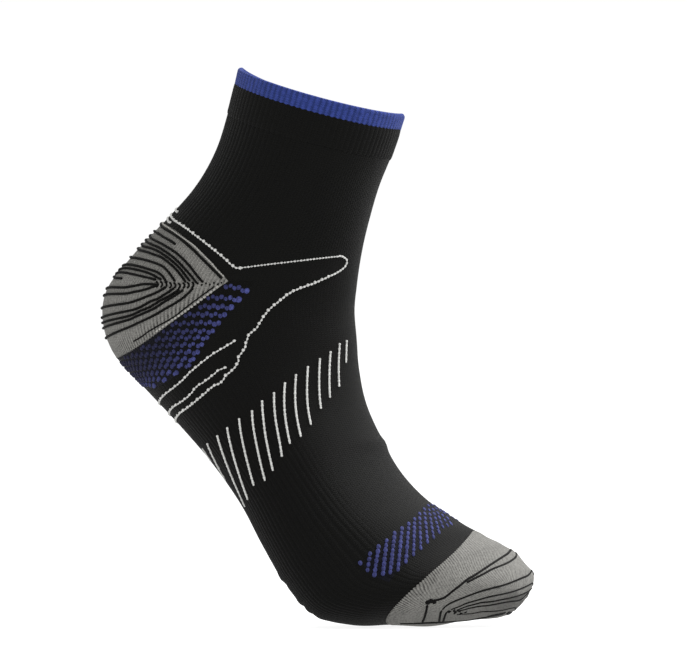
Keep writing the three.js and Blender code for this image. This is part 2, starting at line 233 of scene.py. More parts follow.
HEEL_LOWER_EDGE = ((219, 285.8), (197.8, 302), (181.5, 313.8), (170.4, 321.4), (162.3, 327.2), (155.6, 332))
HEEL_GORE_STITCHES = (
    (158, 284.5), (162.4, 284.5), (166.8, 285), (171.2, 285.3), (175.6, 285.6), (180, 286), (184.5, 285.6),
    (189, 285.2), (193.5, 284.8),
)
HEEL_GORE_KNOTS = (
    (198, 283.6), (202, 285), (206, 283.4), (210, 284.6), (214, 283), (218, 284.2), (221.5, 282.8),
)
TOE_COURSES = (
    (
        (433, 600.6), (438, 599.6), (443.3, 597.9), (446.7, 595.8), (451.7, 591.7), (456.7, 587.9),
        (461.7, 584), (468, 579), (475.6, 574.6), (490.8, 564.7), (506.7, 554.4), (511.8, 549.5),
    ),
    (
        (466, 583), (471, 580.2), (477, 577.2), (485, 573.2), (491.5, 569.6), (503, 565), (510.5, 561.3),
        (515.6, 557), (516.2, 552.6),
    ),
    (
        (441.6, 610), (445.5, 606), (451.7, 602.2), (463.3, 597.5), (476.7, 592.5), (489.2, 588.8),
        (505.8, 584.2), (520.8, 578.3), (526.7, 575.8), (530, 573), (531.2, 570.6),
    ),
    (
        (450, 609.6), (460, 605.8), (466.7, 602.9), (480, 599.2), (493.3, 595.8), (510, 592.1),
        (525, 586.7), (531.7, 583.3),
    ),
    (
        (456, 610), (465.9, 606.3), (475, 603.9), (485, 602), (501.7, 599.4), (515.6, 596.3), (526.7, 592),
        (531.5, 588.6),
    ),
    (
        (452, 611.5), (463, 609.6), (471.4, 607.4), (485.2, 605.5), (499, 603.4), (510.1, 601.3),
        (521.2, 598.8), (529, 594.3),
    ),
    ((456, 614), (470, 613.3), (485, 611.3), (501.7, 610), (514.2, 607.5)),
)
SOLE_COURSES = (
    ((427.1, 604.2), (426.7, 608.3), (425.8, 612.5), (424.2, 617.5), (422.3, 621.6)),
    ((441.8, 609.6), (440.4, 612.5), (439.5, 617.5), (439, 621)),
    ((449.5, 609.9), (445.8, 612.8), (444, 617.5), (443, 621)),
)
# A wide black line along the sole's bottom edge: painted shade, a dark line laid where the underside is in
# shade.
SOLE_EDGE_SHADE_LINE = (
    (399, 622.8), (422.5, 622.6), (435, 622.1), (447.5, 621.4), (464.2, 620), (476.7, 617.9),
    (485, 616.7), (493.3, 615), (505, 612.5),
)
TOE_GORE = ((427, 605), (428, 602), (430.5, 600.8), (433.5, 601.6), (436.5, 600.2))
TOE_KNOTS = ((449, 610), (456, 611.5), (466, 613))

# Right ends of the rows of tuck stitches below the heel
HEEL_ROW_ENDS = (
    (246.5, 291.6), (238.7, 300.3), (231.2, 308.1), (224.6, 315.6), (218.8, 323.9), (213, 331.8),
    (207.2, 338.4), (202.2, 345.5), (198, 352.9), (193.9, 360), (189.8, 366.2), (177.3, 373.6),
    (165.7, 380.3), (155, 386),
)
# Columns of tuck stitches across the instep: first stitch, last stitch and their number
INSTEP_COLUMNS = (
    ((360.2, 563), (361, 566), 1),
    ((370, 553.6), (367.7, 569.7), 4),
    ((378.5, 546.8), (374.4, 574.5), 7),
    ((386.6, 540.7), (383, 573.1), 8),
    ((394.7, 533.3), (390.2, 571.8), 10),
    ((402, 528.6), (398, 569), 10),
    ((408.8, 523.9), (405.9, 561), 9),
    ((414.6, 519.1), (413.5, 554), 9),
    ((419.6, 513.7), (420.7, 547.5), 8),
    ((424.3, 509), (427.4, 541.4), 8),
    ((428.4, 505.6), (433.4, 536.7), 8),
    ((431.8, 505), (438.9, 531.6), 7),
    ((436, 508.5), (442.6, 526.6), 5),
    ((440, 510.5), (447.3, 525.2), 4),
    ((444, 513), (450.7, 523.2), 3),
)
# Folds: x, y, at the back (0) or front (180), height in shares of the fold size, half width in sections
FOLDS = (
    (281, 577, 0, 1, 0.14), (284.5, 583, 0, -1, 0.08), (299, 600.5, 0, 1, 0.1), (302, 604, 0, -1, 0.07),
    (308.5, 610.5, 0, 1, 0.1), (311, 613.5, 0, -1, 0.07), (320, 619, 0, 0.6, 0.12),
    (383.5, 443, 180, 1.8, 0.16),
)


# Sizes and colours that can be changed


def length(name, description, default):
    return FloatProperty(
        name=name, description=description, default=default, min=0, precision=5, unit="LENGTH"
    )


def colour(name, description, default):
    return FloatVectorProperty(
        name=name, description=description, default=default, size=3, min=0, max=1, subtype="COLOR"
    )


class SockSizes(bpy.types.PropertyGroup):
    edge_band: length("Edge band", "Height of the blue band round the mouth", 0.0065)
    cuff: length("Cuff", "Height of the turned cuff below the band", 0.013)
    plain_wall: length("Plain wall", "Thickness of the plain knit", 0.0015)
    edge_band_wall: length("Band wall", "Thickness of the edge band", 0.0021)
    cuff_wall: length("Cuff wall", "Thickness of the turned cuff", 0.0024)
    padded_wall: length("Padded wall", "Thickness of heel and toe", 0.002)
    mesh_wall: length("Mesh wall", "Thickness of the mesh patches", 0.0012)
    arch_wall: length("Arch wall", "Thickness of the arch band", 0.0017)
    edge_band_proud: length("Band proud", "How far the band stands out of the plain knit", 0.0002)
    cuff_proud: length("Cuff proud", "How far the cuff stands out of the plain knit", 0.0004)
    padded_proud: length("Padding proud", "How far heel and toe stand out of the plain knit", 0.0002)
    rib: length("Rib", "Depth of the furrows between ribs", 0.00025)
    scallop: length("Scallop", "How far each stitch steps past a zone's edge", 0.0005)
    fold: length("Fold", "Height of the folds at the ball and the ankle", 0.00045)
    outline: length("Outline", "Width of the white outline", 0.0011)
    dash: length("Dash", "Width of the white dashes", 0.00098)
    course: length("Black course", "Width of the black courses in heel and toe", 0.0012)
    heel_tuck: length("Heel tuck stitch", "Length of a blue tuck stitch below the heel", 0.002)
    instep_tuck: length("Instep tuck stitch", "Length of a blue tuck stitch across the instep", 0.0017)


class SockColours(bpy.types.PropertyGroup):
    black: colour("Black yarn", "Main yarn", (0.0026, 0.0026, 0.0023))
    # The band's furrow colour is painted shade and its rib colour painted light, on one blue yarn, with a
    # random mottle between them.
    blue_furrow_shade_and_mottle: colour("Blue yarn, furrow", "Edge band between its ribs", (0.014, 0.026, 0.118))
    blue_rib_light_and_mottle: colour("Blue yarn, rib", "Edge band on its ribs", (0.031, 0.051, 0.232))
    # Across the instep, the mix of these two blues also holds painted light, lighter towards the top of the
    # foot.
    tuck: colour("Blue tuck stitches", "Mesh patches", (0.06, 0.07, 0.235))
    tuck_deep: colour("Sunk tuck stitches", "Mesh patches, where the blue sinks in", (0.01, 0.01, 0.026))
    grey: colour("Grey yarn", "Heel and toe", (0.225, 0.221, 0.206))
    white: colour("White yarn", "Outline and dashes", (0.6, 0.6, 0.58))


# The surface


def section_table():
    rows = []
    for girth, ahead, up, tilt, depth, width, lean, slant, flat, dip, shift in SECTIONS:
        deep, wide = GIRTHS[girth]
        spread = math.tan(math.radians(slant))
        rows.append((ahead * REACH, up * HEIGHT, math.radians(tilt), depth * deep, width * wide, lean,
                     spread, flat, dip * deep, shift * wide))
    return np.array(rows)


TABLE = section_table()
LAST = len(TABLE) - 1
MOUTH = np.array([TABLE[0, 0], 0, TABLE[0, 1]])


def extended(points):
    """Points with one more before the first and one after the last, in line with them."""
    return np.vstack([2 * points[0] - points[1], points, 2 * points[-1] - points[-2]])


def smooth_span(a, b, c, d, t):
    """From b to c, for t from 0 to 1, on a smooth curve that comes from a and goes on to d."""
    cubic = 2 * b + (c - a) * t + (2 * a - 5 * b + 4 * c - d) * t**2 + (3 * b - a - 3 * c + d) * t**3
    return cubic / 2


def section_sizes(section):
    """A smooth curve through the sections."""
    at = np.clip(section, 0, LAST)
    i = np.minimum(at.astype(int), LAST - 1)
    rows = extended(TABLE)
    sizes = smooth_span(rows[i], rows[i + 1], rows[i + 2], rows[i + 3], (at - i)[..., None])
    return np.moveaxis(sizes, -1, 0)


def back_of(section):
    x, z, tilt, depth = section_sizes(section)[:4]
    return np.stack([x - depth / 2 * np.cos(tilt), z - depth / 2 * np.sin(tilt)], -1)


def unit(vectors):
    return vectors / np.maximum(np.linalg.norm(vectors, axis=-1, keepdims=True), 1e-12)


def signed_power(value, power):
    return np.sign(value) * np.abs(value) ** power


def surface_point(section, turn):
    section, turn = np.broadcast_arrays(np.asarray(section, float), np.asarray(turn, float))
    x, z, tilt, depth, width, lean, spread, flat, dip, shift = section_sizes(section)
    past = np.clip(section - LAST, 0, 1)
    arc = TOE_ROUND_FROM + past * (math.pi / 2 - TOE_ROUND_FROM)
    shrink = np.where(past > 0, np.cos(arc) / math.cos(TOE_ROUND_FROM), 1)
    ahead = np.where(past > 0, TOE_ROUND * (np.sin(arc) - math.sin(TOE_ROUND_FROM)), 0)
    to_back, to_side = np.cos(np.radians(turn)), np.sin(np.radians(turn))
    power = 2 / (2 + SOLE_SQUARENESS * flat * (1 + to_back) / 2)
    forward = -depth / 2 * shrink * signed_power(to_back, power)
    aside = -width / 2 * shrink * signed_power(to_side, power)
    leaning = -lean * width * shrink * signed_power(to_back, power) / 4
    half = 0.25
    middle = np.clip(section, half, LAST - half)
    sole = unit(back_of(middle + half) - back_of(middle - half))
    along = spread * (aside + leaning) + dip * np.abs(to_side) ** DIP_ROUNDNESS
    point = [
        x + forward * np.cos(tilt) + ahead * np.sin(tilt) + along * sole[..., 0],
        aside + leaning + shift,
        z + forward * np.sin(tilt) - ahead * np.cos(tilt) + along * sole[..., 1],
    ]
    return np.stack(point, -1) - MOUTH


def surface_normal(section, turn):
    step = 0.02
    at = np.minimum(section, LAST + 1 - step)
    down = surface_point(at + step, turn) - surface_point(at - step, turn)
    round_it = surface_point(at, turn + 1) - surface_point(at, turn - 1)
    return unit(np.cross(down, round_it))


def smooth(low, high, value):
    share = np.clip((value - low) / (high - low), 0, 1)
    return share * share * (3 - 2 * share)


def wrapped(turn):
    return np.abs((turn + 180) % 360 - 180)


def run_along(points):
    """Length from the first point to each. Points may be columns of points."""
    steps = np.linalg.norm(np.diff(points, axis=0), axis=-1)
    return np.concatenate([np.zeros_like(steps[:1]), np.cumsum(steps, axis=0)])


@functools.cache
def run_table():
    """Length down the outer side of the sock at each of many sections."""
    sections = np.linspace(0, LAST + 1, 400)
    return sections, run_along(surface_point(sections, 90.0))


def run_to(section):
    return np.interp(section, *run_table())


def per_section(section):
    """Metres that a section takes up along the outer side."""
    half = 0.1
    return (run_to(section + half) - run_to(section - half)) / (2 * half)


def section_below(lengths, turns):
    """The sections that lie at lengths below the rim, one row a length, one column a turn."""
    sections = np.linspace(0, 3, 120)
    runs = run_along(surface_point(sections[:, None], turns))
    return np.stack([np.interp(lengths, run, sections) for run in runs.T], -1)


# Edges of the zones


def panel_upper(turn):
    return np.interp(wrapped(turn), PANEL_TURNS, PANEL_UPPER)


def panel_lower(turn):
    return np.interp(wrapped(turn), PANEL_TURNS, PANEL_LOWER)


def pocket(edge, amount, turn):
    return edge["section"] + amount * (1 - np.minimum(1, wrapped(turn) / edge["turn"]) ** edge["bow"])


def heel_upper(turn):
    return pocket(HEEL_GORE, -HEEL_GORE["above"], turn)


def heel_lower(turn):
    return pocket(HEEL_GORE, HEEL_GORE["below"], turn)


def heel_mesh_lower(turn):
    return pocket(HEEL_MESH, HEEL_MESH["below"], turn)


def across(edge, turn):
    share = ((1 - np.cos(np.radians(turn))) / 2) ** edge["bow"]
    return edge["sole"] + (edge["instep"] - edge["sole"]) * share


def rounded_fall(turn, rounding):
    return np.hypot(180 - wrapped(turn), rounding) - rounding


def instep_edge(side, top, turn):
    share = rounded_fall(turn, INSTEP_MESH["round"]) / rounded_fall(INSTEP_MESH["turn"], INSTEP_MESH["round"])
    return INSTEP_MESH[top] + (INSTEP_MESH[side] - INSTEP_MESH[top]) * np.minimum(share, 1)


def instep_mesh_from(turn):
    return instep_edge("side_from", "top_from", turn)


def instep_mesh_to(turn):
    return instep_edge("side_to", "top_to", turn)


def toe_from(turn):
    up_from_sole = 1 - rounded_fall(turn, TOE_CAP["round"]) / rounded_fall(0, TOE_CAP["round"])
    return TOE_CAP["sole"] + (TOE_CAP["top"] - TOE_CAP["sole"]) * up_from_sole ** TOE_CAP["bow"]


def scalloped(section, turn, step, wales=WALES):
    """An edge that steps out once in each stitch."""
    wale = turn / 360 * wales
    return section + 2 * step * (np.abs(wale % 1 - 0.5) - 0.25) / per_section(section)


def heel_edge(edge, turn):
    """A scalloped edge of the heel, straight at its corners."""
    step = bpy.context.scene.sock_sizes.scallop
    return scalloped(edge(turn), turn, np.where(wrapped(turn) < HEEL_GORE["turn"] - CORNER, step, 0))


def toe_edge(turn):
    """The toe's scalloped edge, with larger teeth towards the sole."""
    step = bpy.context.scene.sock_sizes.scallop
    return scalloped(toe_from(turn), turn, step * (0.5 + smooth(*TOE_TEETH_TURNS, wrapped(turn))), TOE_WALES)


# What the photograph shows of the surface


def view_axes():
    right = np.array([math.cos(VIEW_AZIMUTH), math.sin(VIEW_AZIMUTH), 0])
    away = np.array([-math.sin(VIEW_AZIMUTH), math.cos(VIEW_AZIMUTH), 0])
    up = np.array([0, 0, 1])
    target = right * VIEW_AHEAD + up * VIEW_UP - MOUTH
    return right, away, up, target - away * VIEW_DISTANCE


def photo_pixel(points):
    right, away, up, eye = view_axes()
    sight = points - eye
    scale = VIEW_DISTANCE / (sight @ away) / PIXEL
    return np.stack([PHOTO_CENTRE[0] + sight @ right * scale, PHOTO_CENTRE[1] - sight @ up * scale], -1)


@functools.cache
def near_side():
    """Many places on the side that the photograph shows, with their pixels."""
    down, around = SEARCH_STEPS
    sections, turns = np.meshgrid(np.arange(0, LAST + 1, down), np.arange(-60, 260, around), indexing="ij")
    points = surface_point(sections, turns)
    sight = unit(points - view_axes()[3])
    shown = (surface_normal(sections, turns) * sight).sum(-1) < 0
    return sections[shown], turns[shown], photo_pixel(points)[shown]


def place_of(pixel):
    """The section and turn that a pixel of the photograph shows."""
    sections, turns, pixels = near_side()
    nearest = np.argmin(np.linalg.norm(pixels - np.array(pixel), axis=-1))
    steps = np.linspace(-1, 1, 21)
    down, around = SEARCH_STEPS
    section, turn = np.meshgrid(sections[nearest] + down * steps, turns[nearest] + around * steps)
    section = np.minimum(section, LAST + 1)
    best = np.argmin(np.linalg.norm(photo_pixel(surface_point(section, turn)) - np.array(pixel), axis=-1))
    return section.flat[best], turn.flat[best]


# Relief of the knitting


def rib_height(turn):
    """From 0 in a furrow to 1 on a rib."""
    return (1 - np.cos(math.pi * turn / 360 * WALES)) / 2


@functools.cache
def fold_places():
    return [(place_of((x, y))[0], *fold) for x, y, *fold in FOLDS]


def level(value):
    return lambda section, turn: value + 0 * section


def furrows(depth):
    """Ribs that are alike all round."""
    return lambda section, turn: -depth * (1 - rib_height(turn))


def black_relief(section, turn):
    """Ribs that fade out towards the front, and a few folds."""
    sizes = bpy.context.scene.sock_sizes
    strength = np.interp(section, RIB_SECTIONS, RIB_STRENGTHS) * smooth(*RIB_TURNS, wrapped(turn))
    relief = -sizes.rib * strength * (1 - rib_height(turn))
    for at, side, height, width in fold_places():
        reach = smooth(*FOLD_TURNS, np.abs(wrapped(turn) - side))
        relief = relief + sizes.fold * height * reach * np.exp(-(((section - at) / width) ** 2))
    return relief


# Knitting


def round_turns(first=0.0, last=360.0):
    columns = round((last - first) / 360 * WALES * COLUMNS_PER_WALE)
    return np.linspace(first, last, columns + 1)


def grid(bm, rows, columns):
    """Adds a flat grid, and gives each vertex with its row and column."""
    verts = bmesh.ops.create_grid(bm, x_segments=columns, y_segments=rows, size=1)["verts"]
    return [
        (vert, round((vert.co.y + 1) / 2 * rows), round((vert.co.x + 1) / 2 * columns)) for vert in verts
    ]


class Knitting:
    """A bmesh of knitted sheets, which remembers the section and turn of each vertex.

    The accent is a strength from 0 to 1 that the finish shows: ticks in grey terry, openwork in black
    and blue in mesh. The drift is how many stitches the wales move aside.
    """

    def __init__(self, accent=level(0), drift=level(0), wales=WALES):
        self.bm = bmesh.new()
        self.section = self.bm.verts.layers.float.new("section")
        self.turn = self.bm.verts.layers.float.new("turn")
        self.accent = self.bm.verts.layers.float.new("accent")
        self.knit = self.bm.loops.layers.uv.new("knit")
        self.strength = accent
        self.drift = drift
        self.wales = wales

    def place(self, turns, sections, lifts):
        """Lays a grid at the sections and lifts, with a row of them for each row of vertices."""
        turn = np.broadcast_to(turns, sections.shape)
        points = surface_point(sections, turn) + surface_normal(sections, turn) * lifts[..., None]
        courses = run_to(sections) / COURSE
        strengths = self.strength(sections, turn)
        wales = turn / 360 * self.wales + self.drift(sections, turn)
        for vert, row, column in grid(self.bm, len(sections) - 1, len(turns) - 1):
            at = row, column
            vert.co = points[at]
            vert[self.section] = sections[at]
            vert[self.turn] = turn[at]
            vert[self.accent] = strengths[at]
            for loop in vert.link_loops:
                loop[self.knit].uv = (wales[at], courses[at])

    def sheet(self, turns, start, end, rows, relief):
        """A sheet from one edge to another. start and end give a section for each turn."""
        share = np.linspace(0, 1, rows + 1)[:, None]
        sections = start + (np.maximum(start, end) - start) * share
        self.place(turns, sections, relief(sections, turns))

    def ring(self, profile, relief):
        """A closed ring. Its profile is a loop of lengths below the rim and heights over the surface.

        The edge between band and cuff steps up and down with the ribs.
        """
        sizes = bpy.context.scene.sock_sizes
        turns = round_turns()
        lengths, heights = np.array([*profile, profile[0]]).T
        sections = section_below(lengths, turns)
        wave = BAND_WAVE * sizes.scallop * (rib_height(turns) - 0.5) / per_section(0.5)
        sections[lengths == sizes.edge_band] += wave
        outer = smooth(-0.0005, 0.0, heights)[:, None]
        self.place(turns, sections, heights[:, None] + outer * relief(sections, turns))
        bmesh.ops.remove_doubles(self.bm, verts=self.bm.verts, dist=WELD)
        self.face_outwards()

    def thicken(self, wall):
        """Gives the sheets an inner face, smooth and a wall's thickness below the surface."""
        bmesh.ops.remove_doubles(self.bm, verts=self.bm.verts, dist=WELD)
        made = bmesh.ops.solidify(self.bm, geom=self.bm.faces[:], thickness=wall)["geom"]
        inner = [item for item in made if isinstance(item, bmesh.types.BMVert)]
        section = np.array([vert[self.section] for vert in inner])
        turn = np.array([vert[self.turn] for vert in inner])
        places = surface_point(section, turn) - surface_normal(section, turn) * wall
        for vert, place in zip(inner, places):
            vert.co = place
        self.face_outwards()

    def face_outwards(self):
        if self.bm.calc_volume(signed=True) < 0:
            bmesh.ops.reverse_faces(self.bm, faces=self.bm.faces[:])


def link(name, data):
    made = bpy.data.objects.new(name, data)
    bpy.context.collection.objects.link(made)
    return made


def add_piece(name, bm, material, node=None):
    mesh = bpy.data.meshes.new(name)
    bm.to_mesh(mesh)
    bm.free()
    mesh.polygons.foreach_set("use_smooth", [True] * len(mesh.polygons))
    mesh.set_sharp_from_angle(angle=SHARP_ANGLE)
    mesh.materials.append(material)
    piece = link(name, mesh)
    if node:
        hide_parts(node)
    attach(piece, "root")


def add_zone(name, node, wall, sheets, relief=black_relief, material=None, slot="plain_yarn", **knit):
    """Knits a zone of sheets: for each its turns, the sections where it starts and ends, and its rows."""
    knitting = Knitting(**knit)
    for turns, start, end, rows in sheets:
        knitting.sheet(turns, start, end, rows, relief)
    knitting.thicken(wall)
    add_piece(name, knitting.bm, material or black_knit(), node)


def add_padded_zone(name, node, sheets, **knit):
    sizes = bpy.context.scene.sock_sizes
    wall, proud = sizes.padded_wall - sizes.padded_proud, level(sizes.padded_proud)
    add_zone(name, node, wall, sheets, proud, grey_terry(), "padded_yarn", **knit)


def add_mesh_zone(name, node, sheets, relief, accent):
    wall = bpy.context.scene.sock_sizes.mesh_wall
    add_zone(name, node, wall, sheets, relief, mesh_ground(), "mesh_yarn", accent=accent)


def heel_ticks(section, turn):
    """Furrows show dark near the heel's lower edge."""
    to_edge = (heel_lower(turn) - section) * per_section(section)
    return np.exp(-((to_edge / TICKED) ** 2))


def toe_ticks(section, turn):
    """Furrows show dark near the toe's edge, more so towards the sole."""
    from_edge = (section - toe_from(turn)) * per_section(section)
    return np.exp(-((from_edge / TICKED) ** 2)) * smooth(*TOE_TICK_TURNS, wrapped(turn))


def toe_drift(section, turn):
    """The wales of the toe run down to its tip."""
    return TOE_DRIFT * (section - toe_from(turn)) * np.sin(np.radians(turn))


def heel_mesh_blue(section, turn):
    """How far the blue of sunk stitches shows between the rows."""
    return 0.45 * smooth(*HEEL_BLUE_TURNS, wrapped(turn))


def openwork(section, turn):
    return smooth(*OPENWORK_TURNS, wrapped(turn)) * np.interp(section, OPENWORK_SECTIONS, (0, 1, 1, 0))


# Yarn laid on the surface

YARN_SIDES = 8
YARN_STEP = 0.0005
BEAD_STEPS = 6
BEAD_APART = 1.2
SPAN_STEPS = 24  # between two points of a line


@functools.cache
def shell():
    """The outer surface that yarn is laid on, as a tree for finding the nearest place."""
    sections, turns = np.meshgrid(np.linspace(0, LAST + 1, 421), np.linspace(0, 360, 361), indexing="ij")
    points = surface_point(sections, turns).reshape(-1, 3)
    columns = turns.shape[1]
    corners = [
        (i * columns + j, i * columns + j + 1, (i + 1) * columns + j + 1, (i + 1) * columns + j)
        for i in range(len(sections) - 1)
        for j in range(columns - 1)
    ]
    return BVHTree.FromPolygons([Vector(point) for point in points], corners)


def laid(points):
    """The nearest places on the surface, with its directions outwards."""
    found = [shell().find_nearest(Vector(point)) for point in points]
    return np.array([hit[0] for hit in found]), np.array([hit[1] for hit in found])


def smooth_path(points, step):
    """A smooth curve through points, laid on the surface, with even steps."""
    knots = extended(np.array(points, float))
    t = np.linspace(0, 1, SPAN_STEPS, endpoint=False)[:, None]
    spans = [smooth_span(*span, t) for span in zip(knots, knots[1:], knots[2:], knots[3:])]
    fine = laid(np.vstack([*spans, knots[-2]]))[0]
    run = run_along(fine)
    even = np.linspace(0, run[-1], max(3, round(run[-1] / step)) + 1)
    return laid(np.stack([np.interp(even, run, fine[:, axis]) for axis in range(3)], -1))


def near_places(pixels):
    return [place_of(pixel) for pixel in pixels]


def near_and_far(places):
    """The points of places on the near side, and those on the far side."""
    return [[surface_point(section, side * turn) for section, turn in places] for side in (1, -1)]


def each_side(pixels):
    return near_and_far(near_places(pixels))


def both_sides(pixels):
    """Points from a line's near end round the back or the sole to its far end."""
    near, far = near_and_far([(section, max(turn, 1)) for section, turn in near_places(pixels)])
    return near + far[::-1]


def over_the_toe(pixels):
    """Points from a line's near end over the toe to its far end, straight across where it turns away."""
    near, turned = np.array(each_side(pixels))
    straight = near * (1, -1, 1) + (0, 2 * near[-1, 1], 0)
    share = smooth(len(near) - 1, 0, np.arange(len(near)))[:, None]
    far = straight + (turned - straight) * share
    return [*near, *far[-2::-1]]


def along_wales(pixels):
    """A short line of steady turn, on the near side and on the far side."""
    (top, first), (bottom, last) = near_places(pixels)
    share = np.linspace(0, 1, 7)
    section, turn = top + (bottom - top) * share, first + (last - first) * share
    return [surface_point(section, turn), surface_point(section, -turn)]


def lay_yarn(bm, points, width, height, stitch=0.0, swell=0.0, uneven=0.0, sway=0.0):
    """Lays a flattened yarn along points.

    It swells once a stitch, by turns more and less, and sways to and fro.
    """
    points, outwards = smooth_path(points, stitch / BEAD_STEPS if stitch else YARN_STEP)
    steps = len(points) - 1
    aside = unit(np.cross(outwards, np.gradient(points, axis=0)))
    run = run_along(points)
    size, phase = np.ones(steps + 1), np.zeros(steps + 1)
    if stitch:
        count = max(1, round(run[-1] / stitch))
        bead = np.minimum((run / run[-1] * count).astype(int), count - 1)
        along = 2 * (run / run[-1] * count - bead) - 1
        spread = np.random.default_rng(steps).uniform(0.3, 1, count) * (-1) ** np.arange(count)
        roundness = np.sqrt(np.maximum(0, 1 - (BEAD_APART * along) ** 2))
        size = (1 - swell + swell * roundness) * (1 + uneven * spread[bead])
        phase = run / run[-1] * count * math.pi
    taper = np.clip(np.minimum(run, run[-1] - run) / (width / 2), 0, 1)
    size = size * np.sqrt(1 - (1 - taper) ** 2)
    middle = points + aside * (sway * np.sin(phase))[:, None]
    angle = np.linspace(0, 2 * math.pi, YARN_SIDES + 1)
    reach = np.cos(angle)[None, :, None] * aside[:, None, :] * width / 2
    rise = signed_power(np.sin(angle), 0.7)[None, :, None] * outwards[:, None, :] * height
    places = middle[:, None, :] + (reach + rise) * size[:, None, None]
    for vert, side, step in grid(bm, YARN_SIDES, steps):
        vert.co = places[step, side]


def lay_each_side(bm, pixels, *sizes, **beads):
    for points in each_side(pixels):
        lay_yarn(bm, points, *sizes, **beads)


def add_yarns(name, bm, material):
    bmesh.ops.remove_doubles(bm, verts=bm.verts, dist=WELD)
    bmesh.ops.recalc_face_normals(bm, faces=bm.faces)
    add_piece(name, bm, material)


# Finishes


class Wire:
    """A shader value that can stand in sums and products."""

    def __init__(self, finish, socket):
        self.finish = finish
        self.socket = socket

    def __add__(self, other):
        return self.finish.maths("ADD", self, other)

    def __sub__(self, other):
        return self.finish.maths("SUBTRACT", self, other)

    def __rsub__(self, other):
        return self.finish.maths("SUBTRACT", other, self)

    def __mul__(self, other):
        return self.finish.maths("MULTIPLY", self, other)

    def __pow__(self, other):
        return self.finish.maths("POWER", self, other)

    __radd__ = __add__
    __rmul__ = __mul__

    def output(self, name):
        return Wire(self.finish, self.socket.node.outputs[name])


class Finish:
    """A material with one Principled shader. What is the same all over is set on its sockets."""

    def __init__(self, name, **fixed):
        self.material = bpy.data.materials.new(name)
        self.material.use_nodes = True
        self.tree = self.material.node_tree
        self.shader = self.tree.nodes["Principled BSDF"]
        for socket, value in fixed.items():
            self.shader.inputs[socket.replace("_", " ")].default_value = value

    def feed(self, socket, value):
        if isinstance(value, Wire):
            self.tree.links.new(value.socket, socket)
        elif hasattr(value, "__len__") and len(value) == 3 and len(socket.default_value) == 4:
            socket.default_value = (*value, 1)
        else:
            socket.default_value = value

    def node(self, kind, settings=None, inputs=None, output=0):
        made = self.tree.nodes.new(kind)
        for name, value in (settings or {}).items():
            setattr(made, name, value)
        for socket, value in (inputs or {}).items():
            self.feed(made.inputs[socket], value)
        return Wire(self, made.outputs[output])

    def maths(self, operation, *values):
        return self.node("ShaderNodeMath", {"operation": operation}, dict(enumerate(values)))

    def mix(self, share, first, second):
        return self.node("ShaderNodeMix", {"data_type": "RGBA"}, {0: share, 6: first, 7: second}, 2)

    def noise(self, scale, detail=2):
        coordinates = self.node("ShaderNodeTexCoord", output=3)
        inputs = {"Vector": coordinates, "Scale": scale, "Detail": detail}
        return self.node("ShaderNodeTexNoise", None, inputs)

    def attribute(self, name):
        return self.node("ShaderNodeAttribute", {"attribute_name": name}, output=2)

    def ramp(self, value, low, high):
        limits = {"Value": value, "From Min": low, "From Max": high}
        return self.node("ShaderNodeMapRange", {"interpolation_type": "SMOOTHSTEP"}, limits)

    def bump(self, height, depth):
        bump = self.node("ShaderNodeBump", None, {"Height": height, "Distance": depth})
        self.feed(self.shader.inputs["Normal"], bump)

    def colour(self, value):
        self.feed(self.shader.inputs["Base Color"], value)


class KnitFinish(Finish):
    """A finish that knows where in the knitting it is."""

    def __init__(self, name, **fixed):
        super().__init__(name, **fixed)
        knit = self.node("ShaderNodeUVMap", {"uv_map": "knit"})
        self.wale = self.node("ShaderNodeSeparateXYZ", None, {"Vector": knit})
        self.course = self.wale.output("Y")
        # Distance from a wale's middle
        self.aside = self.maths("ABSOLUTE", self.maths("FRACT", self.wale) - 0.5)
        # Height of the legs of each V-shaped stitch, from 0 to 1
        along = self.maths("FRACT", self.course + self.aside * 1.2)
        self.stitches = self.maths("SINE", along * math.pi) * (1 - (self.aside * 2) ** 3)

    def wave(self, value):
        return self.maths("COSINE", value * math.pi)


def scaled(colour, share):
    return [part * share for part in colour]


PLAIN_SHEEN = {"Roughness": 0.75, "Specular_IOR_Level": 0.08, "Sheen_Weight": 0.02, "Sheen_Roughness": 0.4}
# Least and most share of the yarn's colour, roughness and specular level
YARNS = {"white": (0.7, 1, 0.75, 0.2), "grey": (1.1, 1.8, 0.85, 0.1), "black": (0.6, 1, 0.8, 0.1)}


@functools.cache
def black_knit():
    black = bpy.context.scene.sock_colours.black
    finish = KnitFinish("black_knit", **PLAIN_SHEEN)
    net = finish.wave(finish.wale) * finish.wave(finish.course)
    holes = finish.ramp(net, 0.2, 0.8) * finish.attribute("accent")
    light = finish.stitches * 0.5 + finish.noise(900) * 0.5 - holes * 0.35
    finish.colour(finish.mix(light, scaled(black, 0.5), scaled(black, 1.6)))
    finish.bump(finish.stitches - holes, 0.00015)
    return finish.material


@functools.cache
def blue_rib():
    colours = bpy.context.scene.sock_colours
    finish = KnitFinish("blue_rib", Roughness=0.85, Specular_IOR_Level=0.1, Sheen_Weight=0.04)
    # Darker in the furrows and lighter on the ribs of one blue yarn: painted shade and painted light, with a
    # random mottle.
    rib = 0.5 - 0.5 * finish.wave(finish.wale)
    mottle = (finish.noise(650) - 0.5) * 1.6
    share = finish.ramp(rib * 0.7 + mottle + finish.stitches * 0.3, -0.1, 1.1)
    finish.colour(finish.mix(share, colours.blue_furrow_shade_and_mottle, colours.blue_rib_light_and_mottle))
    finish.bump(finish.stitches, 0.00025)
    return finish.material


